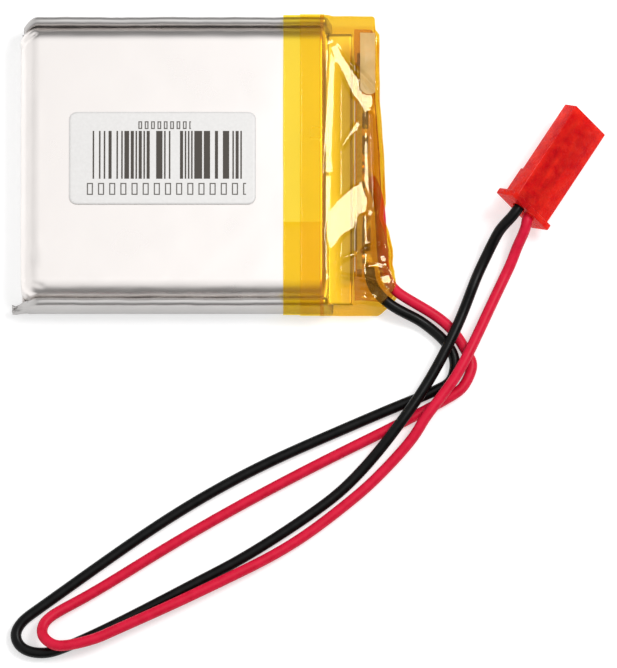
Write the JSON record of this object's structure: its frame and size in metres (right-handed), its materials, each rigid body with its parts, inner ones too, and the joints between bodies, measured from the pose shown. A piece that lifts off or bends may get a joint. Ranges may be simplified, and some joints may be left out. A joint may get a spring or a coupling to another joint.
{
  "type": "lipo battery pack",
  "caption": "Flat lithium-polymer pouch battery with folded side seams, an amber-taped header, a red and a black lead and a two-pin red plug.",
  "frame": {"origin": "middle of the pack's footprint, on the plane it lies on; the leads and the plug don't count", "axes": "+X from the folded end of the pouch to the taped header, +Y across the pack, +Z out of the labelled broad face"},
  "size_m": [0.098, 0.1083, 0.0101],
  "materials": {
    "laminate": "silver pouch laminate with a satin sheen and fine creases",
    "laminate_back": "silver pouch laminate, flat back",
    "seam_film": "heat-sealed laminate, slightly rippled",
    "anode": "graphite coating",
    "cathode": "black cathode coating",
    "separator": "white porous film",
    "stack_tape": "thin green stack tape",
    "aluminium_foil": "welded aluminium foils",
    "copper_foil": "welded copper foils",
    "aluminium_tab": "bare aluminium strip",
    "nickel_tab": "bare nickel strip",
    "sealant": "translucent tab sealant",
    "board": "green solder mask on a board",
    "paper": "insulating paper",
    "chip": "moulded black package with flat legs",
    "resistor": "black chip resistor",
    "capacitor": "tan ceramic capacitor",
    "nickel": "nickel strip",
    "solder": "bright solder",
    "tinned_copper": "tinned copper strands",
    "amber_tape": "clear amber polyimide tape, tight and glossy",
    "header_tape": "clear amber polyimide tape, crumpled over the header",
    "label": null,
    "red_silicone": "red flexible insulation, satin",
    "black_silicone": "black flexible insulation, glossy",
    "red_plastic": "translucent red moulding",
    "contact": "plated contact"
  },
  "bodies": {
    "root": {"pouch_cup": "laminate", "pouch_base": "laminate_back", "side_seam_front": "seam_film", "side_seam_rear": "seam_film", "anode_plate_1": "anode", "anode_plate_2": "anode", "anode_plate_3": "anode", "anode_plate_4": "anode", "anode_plate_5": "anode", "anode_plate_6": "anode", "anode_plate_7": "anode", "cathode_plate_1": "cathode", "cathode_plate_2": "cathode", "cathode_plate_3": "cathode", "cathode_plate_4": "cathode", "cathode_plate_5": "cathode", "cathode_plate_6": "cathode", "separator": "separator", "stack_tape": "stack_tape", "positive_foil_weld": "aluminium_foil", "negative_foil_weld": "copper_foil", "positive_tab": "aluminium_tab", "negative_tab": "nickel_tab", "positive_tab_sealant": "sealant", "negative_tab_sealant": "sealant", "protection_board": "board", "board_insulator": "paper", "dual_mosfet": "chip", "protection_chip": "chip", "resistor_1": "resistor", "resistor_2": "resistor", "capacitor": "capacitor", "nickel_strip_positive": "nickel", "nickel_strip_negative": "nickel", "solder_joint_red": "solder", "solder_joint_black": "solder", "red_core": "tinned_copper", "black_core": "tinned_copper", "tape_belt_inner": "amber_tape", "tape_belt_outer": "amber_tape", "header_tape": "header_tape", "label": "label", "red_lead": "red_silicone", "black_lead": "black_silicone", "plug_housing": "red_plastic", "contact_red": "contact", "contact_black": "contact"}
  },
  "joints": []
}
